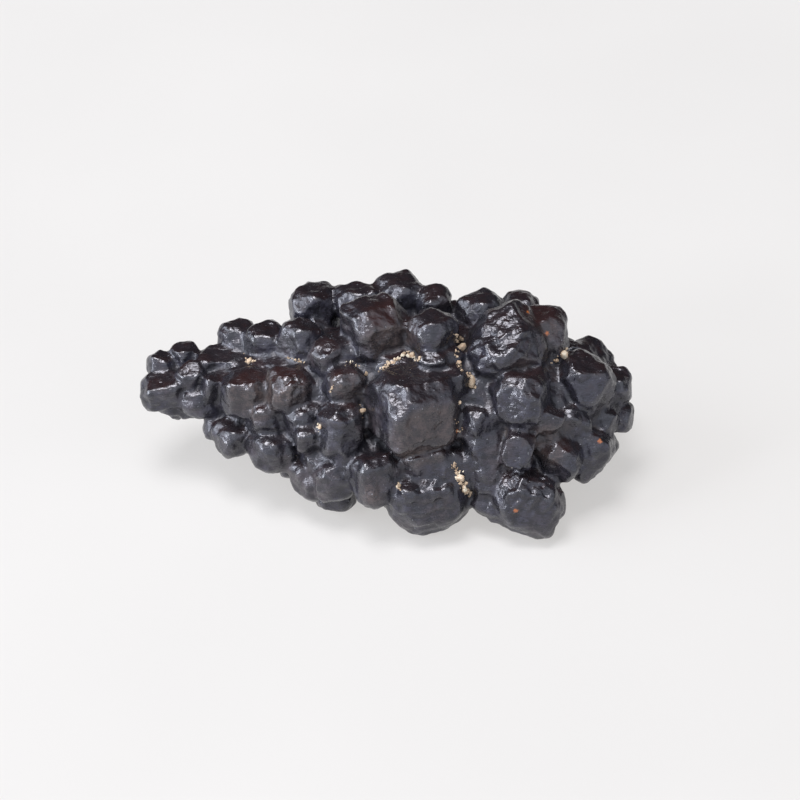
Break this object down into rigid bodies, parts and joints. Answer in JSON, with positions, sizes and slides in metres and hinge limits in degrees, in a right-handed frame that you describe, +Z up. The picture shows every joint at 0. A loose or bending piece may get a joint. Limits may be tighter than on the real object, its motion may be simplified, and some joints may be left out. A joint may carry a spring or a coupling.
{
  "type": "prophecy stone",
  "caption": "Spindle-shaped natural cluster of dark iron-oxide crystals grown together, tapering to a narrow tip and lying on its lowest crystals.",
  "frame": {"origin": "middle of the bounding box's underside, at the level of the surface the stone lies on", "axes": "+Z up; +X along the stone from its narrow tip to its blunt end; -Y is the side with the large crystals that the picture shows"},
  "size_m": [0.062, 0.0322, 0.0266],
  "materials": {
    "stone": "satin, slightly metallic"
  },
  "bodies": {
    "root": {"stone": "stone"}
  },
  "joints": []
}
